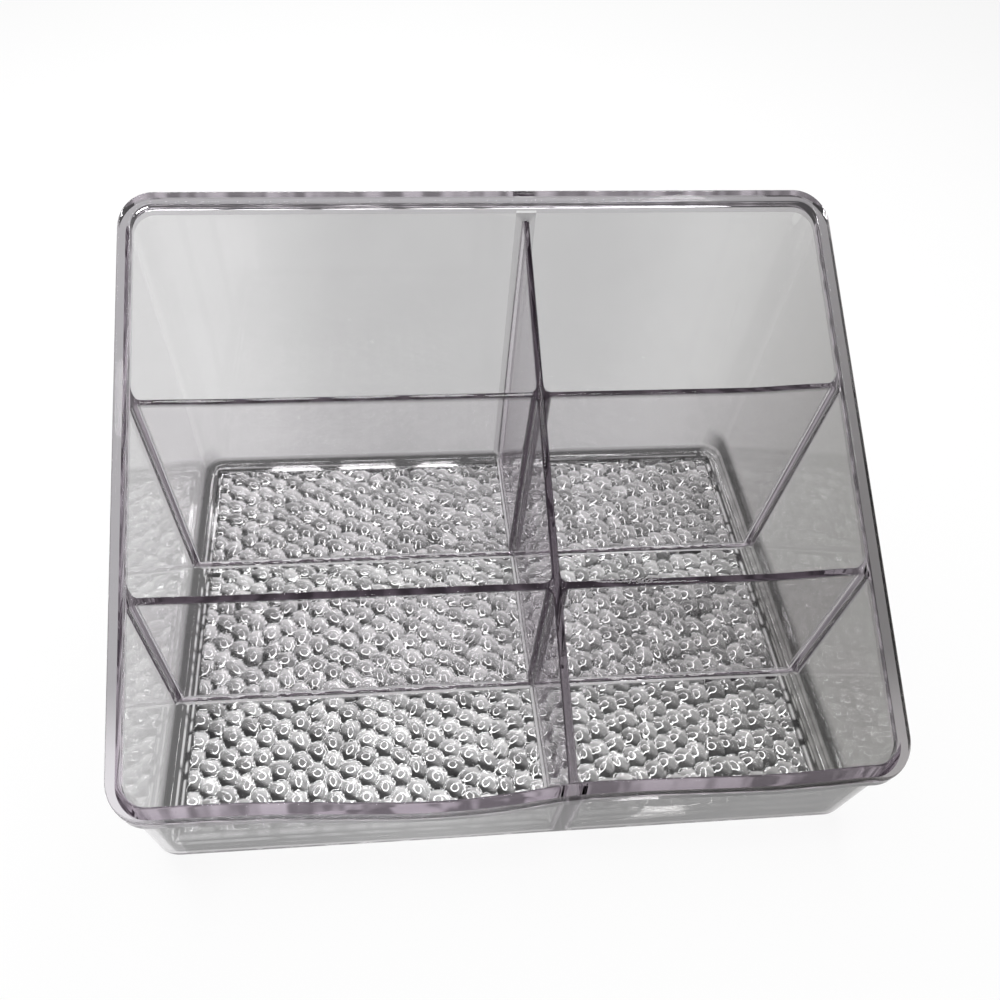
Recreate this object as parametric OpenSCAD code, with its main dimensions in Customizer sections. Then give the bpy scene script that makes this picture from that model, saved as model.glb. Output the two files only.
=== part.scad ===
/* [Overall size] */
// Width across the rim, measured at the back where it is widest
overall_width = 241; // [200:1:300]
// Depth across the rim from front to back
overall_depth = 180; // [150:1:230]
// Height of the rim at the back
back_height = 121; // [95:0.5:150]
// Height of the rim at the front
front_height = 40; // [30:0.5:60]

/* [Walls and floor] */
// Lean of the four outside walls away from upright, in degrees
wall_draft = 3.8; // [1:0.1:6]
// Thickness of the outside walls
wall_t = 2.2; // [1.6:0.1:3]
// Thickness of the floor
floor_t = 2.4; // [1.8:0.1:3.5]
// Inside radius of the four upright corners
corner_r = 7; // [5:0.5:12]
// Radius of the fillet inside, where the walls meet the floor
foot_fillet_r = 2.8; // [1.5:0.1:4]
// Radius of the round outside, where the walls meet the underside
foot_round_r = 4.2; // [2:0.1:5]

/* [Rim] */
// How far the rim stands out past the walls
rim_overhang = 2.2; // [1:0.1:4]
// Height of the rim band
rim_h = 4; // [2.5:0.1:6]
// Radius of the two upper edges of the rim
rim_edge_r = 0.9; // [0.3:0.1:1.2]

/* [Front lip] */
// How far the front lip bows out in the bay left of the centre divider
left_bow = 2; // [0:0.1:5]
// How far the front lip bows out in the bay right of the centre divider
right_bow = 0.6; // [0:0.1:4]
// How strongly the left bow is drawn towards the centre divider
left_bow_skew = 1; // [0:0.1:1]
// How strongly the right bow is drawn towards the corner
right_bow_skew = 1; // [0:0.1:1]

/* [Dividers] */
// Distance of the centre divider to the right of the middle
centre_divider_x = 15; // [-40:0.5:40]
// Clear depth of the rear row of compartments, at the floor
rear_row_depth = 50.8; // [35:0.1:60]
// Clear depth of the front row of compartments, at the floor
front_row_depth = 49.8; // [35:0.1:60]
// Thickness of the dividers at the floor
divider_foot_t = 3.2; // [2:0.1:4]
// Lean of each divider face, in degrees, which thins the divider upwards
divider_draft = 0.3; // [0:0.1:0.5]
// Height from the top of the dividers up to the top of the rim
divider_drop = 5; // [4.6:0.1:8]
// How much the top of a cross divider rises on its way to the left wall
left_end_rise = 0.4; // [0:0.1:1.5]
// How much the top of a cross divider rises on its way to the right wall
right_end_rise = 1.3; // [0:0.1:1.5]
// Length of the stretch over which that top rises
end_rise_reach = 30; // [10:1:60]
// Radius of the small upturned tip where a cross divider meets a side wall
tip_r = 2; // [0.5:0.1:2.2]

/* [Hidden] */

clear_tint = [0.84, 0.83, 0.87, 0.45];
floor_tint = [0.72, 0.72, 0.76, 0.6];
rim_tint = [0.6, 0.57, 0.63, 0.7];
divider_tint = [0.7, 0.68, 0.74, 0.55];

// Number of steps in a small fillet, in an upright corner and in each bay of the front lip
fillet_steps = 6;
corner_steps = 8;
bow_steps = 12;

// Flat strip of the floor that stays with the walls outside the floor panel
foot_flat = 0.4;
// Flat stretch of the back and front that stays with each rounded corner
seam_flat = 2;

lean = tan(wall_draft);
divider_lean = tan(divider_draft);
// Turn of the surface at the foot of a wall, and the tangent length it gives each radius
foot_turn = 90 - wall_draft;
tangent_share = tan(foot_turn / 2);
foot_reach = corner_r - (corner_r - foot_fillet_r * tangent_share - foot_flat) / sqrt(2);

rim_w = wall_t + rim_overhang;
rim_slope = (back_height - front_height) / overall_depth;
rim_middle_z = (back_height + front_height) / 2;

// Inside of the walls at the level of the floor
half_w = overall_width / 2 - rim_w - lean * (back_height - floor_t);
back_y = overall_depth / 2 - rim_w - lean * (back_height - floor_t);
front_y = -(overall_depth / 2 - rim_w - lean * (front_height - floor_t));
lip_height = front_height - floor_t;

seam_x = half_w - corner_r - seam_flat;
rear_divider_y = back_y - rear_row_depth - divider_foot_t / 2;
front_divider_y = front_y + front_row_depth + divider_foot_t / 2;

// Height of the top of the rim over a point y of the plan
function rim_z(y) = rim_middle_z + rim_slope * y;

// A station is one upright slice of the wall. It holds the inside point at floor level, the
// outward direction, the drift of the slice for each unit of height, and the foot's inner end.
function station(inside, out, drift, foot) = [inside, out, drift, foot];

function straight_station(inside, out, bow) =
    station(inside, out, out * (lean + bow / lip_height), inside - out * foot_reach);

function corner_station(side_x, side_y, centre_y, angle) = let (
        out = [side_x * cos(angle), side_y * sin(angle)],
        centre = [side_x * (half_w - corner_r), centre_y],
        foot_share = 1 / max(cos(angle), sin(angle))
    )
    station(centre + out * corner_r, out, [side_x * lean, side_y * lean],
        centre + out * (corner_r - foot_reach) * foot_share);

function back_station(x) = straight_station([x, back_y], [0, 1], 0);
function front_station(x, bow) = straight_station([x, front_y], [0, -1], bow);
function side_station(side_x, y) = straight_station([side_x * half_w, y], [side_x, 0], 0);

// Corner slices, from the side wall round to the back or the front
function back_corner(side_x) = [for (i = [0:corner_steps])
    corner_station(side_x, 1, back_y - corner_r, 90 * i / corner_steps)];
function front_corner(side_x) = [for (i = [0:corner_steps])
    corner_station(side_x, -1, front_y + corner_r, 90 * i / corner_steps)];

// A bow that starts and ends at zero, with its crest drawn to the far end by the skew
function bow_at(share, height, skew) = height * sin(180 * share) * (1 - skew * cos(180 * share));

bay_left_x = centre_divider_x - divider_foot_t / 2;
bay_right_x = centre_divider_x + divider_foot_t / 2;

// The front lip from the left seam to the right seam
front_stations = concat(
    [for (i = [0:bow_steps]) let (share = i / bow_steps)
        front_station(-seam_x + share * (bay_left_x + seam_x), bow_at(share, left_bow, left_bow_skew))],
    [for (i = [0:bow_steps]) let (share = i / bow_steps)
        front_station(bay_right_x + share * (seam_x - bay_right_x), bow_at(share, right_bow, right_bow_skew))]
);

function reversed(list) = [for (i = [len(list) - 1:-1:0]) list[i]];

// A side wall with its two rounded corners, from the front seam to the back seam
function side_stations(side_x) = concat(
    [front_station(side_x * seam_x, 0)],
    reversed(front_corner(side_x)),
    back_corner(side_x),
    [back_station(side_x * seam_x)]
);

// The whole way round, against the clock from the front left seam
all_stations = concat(front_stations, side_stations(1), reversed(side_stations(-1)));

// A point of a slice, at a distance outside the inside face and a height over the floor
function on_slice(s, off, h) = let (p = s[0] + s[1] * off + s[2] * h) [p.x, p.y, floor_t + h];

// A point of a slice at a vertical distance under the top of the rim
function under_rim(s, off, drop) = let (
        y = s[0].y + s[1].y * off,
        h = (rim_z(y) - drop - floor_t) / (1 - rim_slope * s[2].y)
    )
    on_slice(s, off, h);

// Fillet between a level line at height h and a wall that leans outwards from the point x there
function foot_arc(x, h, r) = [for (i = [0:fillet_steps]) let (
        turn = -90 + foot_turn * i / fillet_steps,
        along = x + r * (cos(turn) - tangent_share),
        up = r * (1 + sin(turn))
    )
    [along - lean * (h + up), h + up]];

inside_arc = foot_arc(0, 0, foot_fillet_r);
outside_arc = foot_arc(wall_t - lean * floor_t, -floor_t, foot_round_r);

// Outline of one slice of a wall, from the inner end of its foot up the inside and down outside
function wall_slice(s) = concat(
    [[s[3].x, s[3].y, 0], [s[3].x, s[3].y, floor_t]],
    [for (p = inside_arc) on_slice(s, p[0], p[1])],
    [under_rim(s, 0, rim_h), under_rim(s, wall_t, rim_h)],
    [for (p = reversed(outside_arc)) on_slice(s, p[0], p[1])]
);

// Outline of one slice of the rim, with its two upper edges rounded
function rim_slice(s) = concat(
    [under_rim(s, 0, rim_h)],
    [for (i = [0:fillet_steps]) let (turn = 90 * i / fillet_steps)
        under_rim(s, rim_edge_r * (1 - cos(turn)), rim_edge_r * (1 - sin(turn)))],
    [for (i = [0:fillet_steps]) let (turn = 90 * i / fillet_steps)
        under_rim(s, rim_w - rim_edge_r * (1 - sin(turn)), rim_edge_r * (1 - cos(turn)))],
    [under_rim(s, rim_w, rim_h), under_rim(s, wall_t, rim_h)]
);

// End face of a wall as a strip of facets, from its foot up between the inside and the outside
function end_strip(sides) = concat([[0, 1, 2, sides - 1]],
    [for (s = [2:sides / 2 - 1]) [s, s + 1, sides - s, sides + 1 - s]]);

// Skin over a row of slices, open with two end faces or closed in a ring
module skin(slices, ring) {
    rows = len(slices);
    sides = len(slices[0]);
    last_row = ring ? rows - 1 : rows - 2;
    walls = [for (r = [0:last_row], s = [0:sides - 1]) let (
            next_row = (r + 1) % rows,
            next = (s + 1) % sides,
            a = r * sides + s,
            b = r * sides + next,
            c = next_row * sides + next,
            d = next_row * sides + s
        )
        each [[a, b, c], [a, c, d]]];
    strip = end_strip(sides);
    start = [for (face = strip) reversed(face)];
    finish = [for (face = strip) [for (s = face) (rows - 1) * sides + s]];
    polyhedron([for (slice = slices) each slice], ring ? walls : concat(walls, start, finish));
}

module floor_panel() {
    reach_x = half_w - foot_reach;
    panel_front = front_y + foot_reach;
    panel_back = back_y - foot_reach;
    color(floor_tint)
        translate([-reach_x, panel_front, 0])
            cube([2 * reach_x, panel_back - panel_front, floor_t]);
}

module back_wall() {
    color(clear_tint)
        skin([wall_slice(back_station(seam_x)), wall_slice(back_station(-seam_x))], false);
}

module front_wall() {
    color(clear_tint)
        skin([for (s = front_stations) wall_slice(s)], false);
}

module left_wall() {
    color(clear_tint)
        skin([for (s = reversed(side_stations(-1))) wall_slice(s)], false);
}

module right_wall() {
    color(clear_tint)
        skin([for (s = side_stations(1)) wall_slice(s)], false);
}

module rim() {
    color(rim_tint)
        skin([for (s = all_stations) rim_slice(s)], true);
}

// Half the thickness of a divider at a height over the floor
function divider_half(h) = divider_foot_t / 2 - divider_lean * h;

// Tall slab with the taper of a divider, along the x axis, with its middle on the y axis
module divider_taper(reach) {
    top = back_height - floor_t;
    rotate([90, 0, 90])
        translate([0, floor_t, 0])
            linear_extrude(2 * reach, center = true)
                polygon([[-divider_half(0), 0], [divider_half(0), 0],
                    [divider_half(top), top], [-divider_half(top), top]]);
}

module centre_divider() {
    front_slice = front_station(centre_divider_x, 0);
    back_slice = back_station(centre_divider_x);
    front_edge = [for (p = inside_arc) on_slice(front_slice, p[0], p[1])];
    back_edge = [for (p = inside_arc) on_slice(back_slice, p[0], p[1])];
    front_top = under_rim(front_slice, 0, divider_drop);
    back_top = under_rim(back_slice, 0, divider_drop);
    outline = concat(front_edge, [front_top, back_top], reversed(back_edge));
    color(divider_tint)
        translate([centre_divider_x, 0, 0])
            intersection() {
                rotate([90, 0, 90])
                    linear_extrude(divider_foot_t, center = true)
                        polygon([for (p = outline) [p.y, p.z]]);
                rotate([0, 0, 90])
                    divider_taper(overall_depth / 2);
            }
}

// A cross divider from a side wall to the face of the centre divider
module cross_divider(side_x, y) {
    top = rim_z(y) - divider_drop - floor_t;
    end_rise = side_x < 0 ? left_end_rise : right_end_rise;
    end_top = top + end_rise;
    wall = side_station(side_x, y);
    foot = [for (p = inside_arc) on_slice(wall, p[0], p[1])];
    tip = [for (p = foot_arc(lean * end_top, end_top, tip_r)) on_slice(wall, p[0], p[1])];
    rise = [for (i = [1:fillet_steps]) let (share = i / fillet_steps)
        [tip[0].x - side_x * end_rise_reach * share,
            floor_t + top + end_rise * (1 + cos(180 * share)) / 2]];
    centre_foot = centre_divider_x + side_x * divider_half(0);
    centre_top = centre_divider_x + side_x * divider_half(top);
    outline = concat([for (p = foot) [p.x, p.z]], [for (p = reversed(tip)) [p.x, p.z]],
        rise, [[centre_top, floor_t + top], [centre_foot, floor_t]]);
    color(divider_tint)
        translate([0, y, 0])
            intersection() {
                rotate([90, 0, 0])
                    linear_extrude(divider_foot_t, center = true)
                        polygon(outline);
                divider_taper(overall_width / 2);
            }
}

module rear_divider_left() {
    cross_divider(-1, rear_divider_y);
}

module rear_divider_right() {
    cross_divider(1, rear_divider_y);
}

module front_divider_left() {
    cross_divider(-1, front_divider_y);
}

module front_divider_right() {
    cross_divider(1, front_divider_y);
}

floor_panel();
back_wall();
front_wall();
left_wall();
right_wall();
rim();
centre_divider();
rear_divider_left();
rear_divider_right();
front_divider_left();
front_divider_right();
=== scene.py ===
import math

import bpy
import numpy as np
from mathutils import Matrix, Vector


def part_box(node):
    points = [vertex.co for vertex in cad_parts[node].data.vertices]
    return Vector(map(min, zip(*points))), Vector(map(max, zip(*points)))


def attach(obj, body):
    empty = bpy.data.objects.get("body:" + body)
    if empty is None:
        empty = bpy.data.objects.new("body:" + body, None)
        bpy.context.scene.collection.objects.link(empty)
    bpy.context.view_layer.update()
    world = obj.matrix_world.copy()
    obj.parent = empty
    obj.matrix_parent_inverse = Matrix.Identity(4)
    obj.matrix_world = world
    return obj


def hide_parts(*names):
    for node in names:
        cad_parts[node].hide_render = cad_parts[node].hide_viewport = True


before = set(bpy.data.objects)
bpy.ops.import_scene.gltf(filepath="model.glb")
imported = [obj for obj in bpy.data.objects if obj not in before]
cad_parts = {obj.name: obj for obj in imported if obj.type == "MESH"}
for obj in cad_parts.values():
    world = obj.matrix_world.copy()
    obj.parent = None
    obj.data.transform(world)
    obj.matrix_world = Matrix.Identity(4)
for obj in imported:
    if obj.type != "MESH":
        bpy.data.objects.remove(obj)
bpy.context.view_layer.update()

bl_info = {
    "name": "Clear vanity organizer",
    "version": (1, 0, 0),
    "blender": (4, 5, 0),
    "location": "View3D > Sidebar > Organizer",
    "description": "Builds a clear moulded vanity organizer with a pebbled floor, on a pale stage",
    "category": "Add Mesh",
}


def length(name, text, default):
    return bpy.props.FloatProperty(name=name, description=text, default=default, unit="LENGTH",
                                   subtype="DISTANCE", precision=5)


def angle(name, text, degrees):
    return bpy.props.FloatProperty(name=name, description=text, default=math.radians(degrees),
                                   unit="ROTATION", subtype="ANGLE")


def share(name, text, default):
    return bpy.props.FloatProperty(name=name, description=text, default=default, min=0, max=1,
                                   subtype="FACTOR")


def colour(name, text, default):
    return bpy.props.FloatVectorProperty(name=name, description=text, default=default, size=3,
                                         subtype="COLOR", min=0, max=1)


class OrganizerSizes(bpy.types.PropertyGroup):
    """Sizes of the moulding"""
    overall_width: length("Overall width", "Width across the rim at the back", 0.241)
    overall_depth: length("Overall depth", "Depth across the rim", 0.180)
    back_height: length("Back height", "Height of the rim at the back", 0.121)
    front_height: length("Front height", "Height of the rim at the front", 0.040)
    wall_draft: angle("Wall draft", "Lean of the outside walls", 3.8)
    wall_t: length("Wall", "Thickness of the outside walls", 0.0022)
    floor_t: length("Floor", "Thickness of the floor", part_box("floor_panel")[1].z)
    corner_r: length("Corner", "Inside radius of the upright corners", 0.007)
    foot_fillet_r: length("Foot fillet", "Fillet inside, at the foot of the walls", 0.0028)
    foot_round_r: length("Foot round", "Round outside, at the foot of the walls", 0.0042)
    rim_overhang: length("Rim overhang", "How far the rim stands out past the walls", 0.0022)
    rim_h: length("Rim height", "Height of the rim band", 0.004)
    rim_edge_r: length("Rim edge", "Round of the two upper edges of the rim", 0.0009)
    left_bow: length("Left bow", "How far the lip bows out in the left bay", 0.002)
    right_bow: length("Right bow", "How far the lip bows out in the right bay", 0.0006)
    centre_divider_x: length("Centre divider", "How far it stands right of the middle", 0.015)
    rear_row_depth: length("Rear row", "Clear depth of the rear compartments", 0.0508)
    front_row_depth: length("Front row", "Clear depth of the front compartments", 0.0498)
    divider_foot_t: length("Divider", "Thickness of the dividers at the floor", 0.0032)
    divider_draft: angle("Divider draft", "Lean of each divider face", 0.3)
    divider_drop: length("Divider drop", "Height from the dividers up to the rim", 0.005)
    left_end_rise: length("Left rise", "Rise of the cross dividers at the left wall", 0.0004)
    right_end_rise: length("Right rise", "Rise of the cross dividers at the right wall", 0.0013)
    end_rise_reach: length("Rise reach", "Stretch over which they rise", 0.030)
    tip_r: length("Tip", "Radius of the upturned tip at each end of a divider", 0.002)
    web_fillet_r: length("Upright fillet", "Fillet where a divider meets a wall", 0.0024)
    web_foot_r: length("Divider foot", "Fillet where a divider meets the floor", 0.001)
    web_top_r: length("Divider top", "Round of the top edges of the dividers", 0.0006)


class PebbleSizes(bpy.types.PropertyGroup):
    """Sizes of the pebbles in the floor"""
    pitch_x: length("Pitch across", "Distance from one column of pebbles to the next", 0.0056)
    pitch_y: length("Pitch along", "Distance from one pebble to the next in a column", 0.0070)
    jitter: length("Jitter", "How far a pebble strays from its place", 0.0010)
    sway: length("Sway", "How far the columns of pebbles sway along", 0.0016)
    dome_x: length("Dome across", "Radius of a pebble's crown from side to side", 0.0046)
    dome_y: length("Dome along", "Radius of a pebble's crown from front to back", 0.0064)
    depth: length("Depth", "How deep the grooves between the pebbles may go", 0.0014)
    crown: length("Crown", "How far the pebbles stand over the smooth floor", 0.00025)
    shear: share("Shear", "Slant of the rows of pebbles in the right half", 0.3)
    # Painted shade: half the drop over which a groove is painted dark
    groove: length("Groove", "Half the drop over which a groove looks dark", 0.0006)
    border: length("Border", "Smooth edge between the pebbles and what stands on the floor", 0.0006)
    step: length("Step", "Spacing of the mesh in the pebbled floor", 0.00066)


class PlasticLook(bpy.types.PropertyGroup):
    """Colours of the clear plastic, with its painted shade and painted glow"""
    wall_tint: colour("Wall tint", "Tint of the walls", (0.78, 0.78, 0.78))
    rim_tint: colour("Rim tint", "Tint of the rim", (0.86, 0.84, 0.87))
    floor_tint: colour("Floor tint", "Tint of the tops of the pebbles", (1, 1, 1))
    # Painted shade: the colour that each piece's tint is darkened towards where its painted shading
    # is low
    painted_shade_tint: colour("Groove tint", "Tint of the grooves between the pebbles", (0, 0, 0))
    divider_tint: colour("Divider tint", "Tint of the dividers", (0.98, 0.97, 0.98))
    # Painted shade towards the right side
    right_painted_shade: colour("Right tint", "Further tint at the right side", (0.48, 0.475, 0.46))
    # Painted shade of the fillet round the floor, of the front wall and of the back wall
    foot_painted_shade: share("Foot lightness", "Lightness of the fillet round the floor", 0.05)
    front_painted_shade: share("Front lightness", "Lightness of the front wall", 0.6)
    back_painted_shade: share("Back lightness", "Lightness of the back wall", 0.78)
    # Painted glow that ends rays which have turned many times inside
    painted_deep_glow: colour("Deep glow", "Mean colour of light that has turned many times inside",
                      (0.19, 0.165, 0.19))
    painted_rim_glow: colour("Rim glow", "The same inside the rim and the walls", (0.6, 0.575, 0.6))
    depth_tint: colour("Depth tint", "Colour that the plastic turns to with depth",
                       (0.5, 0.44, 0.5))
    depth_density: bpy.props.FloatProperty(
        name="Depth density", description="How fast it turns to that colour, for each metre",
        default=32, min=0)


class StageLook(bpy.types.PropertyGroup):
    """The floor and the lamps"""
    floor_white: share("Floor", "Whiteness of the floor", 0.95)
    lamp_height: length("Lamp height", "Height of the ring of lamps over the floor", 0.62)
    lamp_back: length("Lamp back", "How far behind the organizer the ring stands", 0.22)
    lamp_reach: length("Lamp reach", "Radius of the ring of lamps", 0.31)
    lamp_power: bpy.props.FloatProperty(
        name="Lamp power", description="Power of each lamp in watts", default=0.25, min=0,
        unit="POWER")


# Seeds of the pebbles, of the walls' painted lines of light and of the floor's painted edge line
PEBBLE_SEED, WALL_SEED, EDGE_SEED = 7, 5, 3
# Steps in a fillet, an upright corner, a bay of the lip, a divider's flare and its top
FILLET_STEPS = 8
CORNER_STEPS = 14
BOW_STEPS = 20
FLARE_STEPS = 6
TOP_STEPS = 4
# Rows up a divider's faces between its foot and its top
MIDDLE_SHARES = (0.25, 0.6, 0.985)
# Flat strip of the floor that stays with the walls, and where its painted lines of light run
FOOT_FLAT = 0.0004
FLAT_STOPS = (0, 0.25, 0.4, 0.7, 0.85)
# Heights over the floor between which the painted shade above the fillets of the walls changes
WALL_STOPS = (0.0042, 0.0060, 0.0090, 0.0110, 0.0130)
# Painted streaks of light and shade up the right wall's fillet
RIGHT_PAINTED_STREAKS = [0.7, 0.8, 0.25, 0.7, 0.85, 0.8, 0.3, 0.75, 0.8]
# Painted lightness up the fillet of a plain wall's last steps, and of the right wall from its foot
PLAIN_RISE = [0.3, 0.45, 0.7]
# Spacing of the slices along the side walls, and their distances from the back's seams
SIDE_STEP = 0.0025
BACK_STEPS = (0, 0.012, 0.024, 0.036, 0.048, 0.060)
# Gap between joined faces, and the flat stretch that stays with each rounded corner
HAIR = 0.00001
SEAM_FLAT = 0.002
# Painted shade on the dividers' ends, top edges and lowest rows, and on the rim behind the front
END_SHADE = 0.4
TOP_SHADE = 0.28
FOOT_SHADE = 0.45
FOOT_SHADE_ROWS = 6
RIM_SHADE = 0.55
# Smooth edge of the floor's grid, which carries its broken painted line of light
EDGE_ZONE = 0.0028
EDGE_LINES = 11
PEBBLE_REACH = 0.0065
# Where the right side's painted shade begins and is full, along a slant across the moulding
RIGHT_SHADE_SPAN = (-0.01, 0.14)
# Strength of the lamps' images in the rim and the dividers
WEAK_MIRROR = 0.08
# Glossy turns after which a ray ends in the painted glow
DEEP_TURNS = 3.5
# Brightness of the room low and overhead, and how much of the floor is plain white
ROOM_LIGHT = (0.18, 0.3)
WHITE_SHARE = 0.85
# The camera's place, its turns to the side, down and about its axis, its lens and its shift
CAMERA_PLACE = (-0.03816, -0.18984, 0.28985)
CAMERA_TURNS = (7.472, 49.440, 3.889)
CAMERA_LENS = 33.155
CAMERA_SHIFT = (0.0428, -0.0021)
LAMP_COUNT = 24
LAMP_SIZE = 0.07


def quarter(steps):
    """Angles of the steps of a quarter turn."""
    return [math.pi / 2 * i / steps for i in range(steps + 1)]


def bow_at(share_along, height):
    """How far the lip is out at a share of a bay; the crest lies towards the far end."""
    turn = math.pi * share_along
    return height * math.sin(turn) * (1 - math.cos(turn))


class Slice:
    """One upright slice of a wall: its inside point at floor level, the way out, the drift for
    each unit of height and the inner end of its foot. A slice at the edge of a divider's
    end follows that edge, by edge = -1 or 1 along the wall."""

    def __init__(self, plan, inside, out, drift, foot, along=(0, 0), edge=0):
        self.plan = plan
        self.inside, self.out, self.drift = Vector(inside), Vector(out), Vector(drift)
        self.foot, self.along, self.edge = Vector(foot), Vector(along), edge

    def at(self, off, h):
        spot = self.inside + self.out * off + self.drift * h
        spot += self.along * (self.edge * self.plan.end_half(h))
        return Vector((spot.x, spot.y, self.plan.size.floor_t + h))

    def foot_end(self, z):
        spot = self.foot + self.along * (self.edge * self.plan.end_half(0))
        return Vector((spot.x, spot.y, z))

    def under_rim(self, off, drop):
        plan, size = self.plan, self.plan.size
        y = self.inside.y + self.out.y * off + self.along.y * self.edge * plan.end_reach
        drift_y = self.drift.y - self.along.y * self.edge * plan.divider_lean
        h = (plan.rim_z(y) - drop - size.floor_t) / (1 - plan.rim_slope * drift_y)
        return self.at(off, h)


class Plan:
    """What follows from the sizes: where the walls and dividers stand and how they lean."""

    def __init__(self, size):
        self.size = size
        self.lean = math.tan(size.wall_draft)
        self.divider_lean = math.tan(size.divider_draft)
        self.foot_turn = math.pi / 2 - size.wall_draft
        self.tangent = math.tan(self.foot_turn / 2)
        self.foot_reach = size.corner_r - (
            size.corner_r - size.foot_fillet_r * self.tangent - FOOT_FLAT) / math.sqrt(2)
        self.end_reach = size.divider_foot_t / 2 + size.web_fillet_r
        self.rim_w = size.wall_t + size.rim_overhang
        self.rim_slope = (size.back_height - size.front_height) / size.overall_depth
        rise = self.lean * (size.back_height - size.floor_t)
        self.half_w = size.overall_width / 2 - self.rim_w - rise
        self.back_y = size.overall_depth / 2 - self.rim_w - rise
        self.lip_h = size.front_height - size.floor_t
        self.front_y = -(size.overall_depth / 2 - self.rim_w - self.lean * self.lip_h)
        self.seam_x = self.half_w - size.corner_r - SEAM_FLAT
        half_foot = size.divider_foot_t / 2
        self.rear_y = self.back_y - size.rear_row_depth - half_foot
        self.middle_y = self.front_y + size.front_row_depth + half_foot
        self.bay_left_x = size.centre_divider_x - half_foot
        self.bay_right_x = size.centre_divider_x + half_foot
        self.inside_arc = self.foot_arc(0, 0, size.foot_fillet_r)
        self.outside_arc = self.foot_arc(
            size.wall_t - self.lean * size.floor_t, -size.floor_t, size.foot_round_r)
        self.full_h = self.inside_arc[-1][1] + 0.0006

    def rim_z(self, y):
        return (self.size.back_height + self.size.front_height) / 2 + self.rim_slope * y

    def foot_arc(self, start, level, radius):
        points = []
        for i in range(FILLET_STEPS + 1):
            turn = -math.pi / 2 + self.foot_turn * i / FILLET_STEPS
            across = start + radius * (math.cos(turn) - self.tangent)
            h = level + radius * (1 + math.sin(turn))
            points.append((across - self.lean * h, h))
        return points

    def face(self, h):
        """Half the thickness of a divider at a height, with the fillet at its foot."""
        radius = self.size.web_foot_r
        foot = radius - math.sqrt(radius ** 2 - (radius - h) ** 2) if 0 <= h < radius else 0
        return self.size.divider_foot_t / 2 - self.divider_lean * max(h, 0) + foot

    def flare_r(self, h):
        """Radius of the upright fillets, which run out at the floor."""
        grown = min(max(h / self.full_h, 0), 1)
        return self.size.web_fillet_r * (0.04 + 0.96 * math.sin(grown * math.pi / 2))

    def end_half(self, h):
        """Half the width that the end of a divider covers on a wall."""
        return self.face(max(h, 0)) + self.flare_r(h)

    def straight(self, inside, out, bow=0, along=(0, 0), edge=0):
        inside, out = Vector(inside), Vector(out)
        return Slice(self, inside, out, out * (self.lean + bow / self.lip_h),
                     inside - out * self.foot_reach, along, edge)

    def corner(self, side_x, side_y, centre_y, turn):
        out = Vector((side_x * math.cos(turn), side_y * math.sin(turn)))
        centre = Vector((side_x * (self.half_w - self.size.corner_r), centre_y))
        square = 1 / max(math.cos(turn), math.sin(turn))
        return Slice(self, centre + out * self.size.corner_r, out,
                     (side_x * self.lean, side_y * self.lean),
                     centre + out * (self.size.corner_r - self.foot_reach) * square)

    def back(self, x, edge=0):
        return self.straight((x, self.back_y), (0, 1), along=(1, 0), edge=edge)

    def front(self, x, bow, edge=0):
        return self.straight((x, self.front_y), (0, -1), bow, along=(1, 0), edge=edge)

    def side(self, side_x, y, edge=0):
        return self.straight((side_x * self.half_w, y), (side_x, 0), along=(0, 1), edge=edge)

    def left_bow_at(self, x):
        return bow_at((x + self.seam_x) / (self.bay_left_x + self.seam_x), self.size.left_bow)

    def right_bow_at(self, x):
        return bow_at((x - self.bay_right_x) / (self.seam_x - self.bay_right_x),
                      self.size.right_bow)

    def front_row(self):
        """Slices of the front wall from left to right."""
        x = self.size.centre_divider_x
        left_x, right_x = x - self.end_reach, x + self.end_reach
        left = np.linspace(-self.seam_x, left_x, BOW_STEPS + 1)[:-1]
        right = np.linspace(right_x, self.seam_x, BOW_STEPS + 1)[1:]
        return ([self.front(v, self.left_bow_at(v)) for v in left]
                + [self.front(x, self.left_bow_at(left_x), -1),
                   self.front(x, self.right_bow_at(right_x), 1)]
                + [self.front(v, self.right_bow_at(v)) for v in right])

    def back_row(self):
        """Slices of the back wall from right to left."""
        x = self.size.centre_divider_x
        edge = [self.seam_x - step for step in BACK_STEPS]
        return ([self.back(v) for v in edge] + [self.back(x, 1), self.back(x, -1)]
                + [self.back(-v) for v in reversed(edge)])

    def side_row(self, side_x):
        """Slices of a side wall and its corners, from the front seam to the back seam."""
        turns = np.linspace(0, math.pi / 2, CORNER_STEPS + 1)
        front = [self.corner(side_x, -1, self.front_y + self.size.corner_r, t) for t in turns]
        back = [self.corner(side_x, 1, self.back_y - self.size.corner_r, t) for t in turns]
        seam_x = side_x * (self.seam_x + HAIR)
        corner_r, half = self.size.corner_r, self.end_reach
        stops = [self.front_y + corner_r, self.middle_y, self.rear_y, self.back_y - corner_r]
        row = [self.front(seam_x, 0)] + front[::-1]
        for a, b in zip(stops, stops[1:]):
            inner = np.linspace(a + half, b - half, round((b - a) / SIDE_STEP))
            row += [self.side(side_x, y) for y in inner]
            if b != stops[-1]:
                row += [self.side(side_x, b, edge) for edge in (-1, 1)]
        return row + back + [self.back(seam_x)]

    def wall_outline(self, cut):
        """Outline of a wall in one slice, from the inner end of its foot up and round."""
        size = self.size
        inner, heel = cut.foot_end(size.floor_t), cut.at(*self.inside_arc[0])
        return ([cut.foot_end(0)] + [inner.lerp(heel, share) for share in FLAT_STOPS]
                + [cut.at(off, h) for off, h in self.inside_arc]
                + [cut.at(0, self.full_h)] + [cut.at(0, h) for h in WALL_STOPS]
                + [cut.under_rim(0, size.rim_h + HAIR),
                   cut.under_rim(size.wall_t, size.rim_h + HAIR)]
                + [cut.at(off, h) for off, h in reversed(self.outside_arc)])

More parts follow.
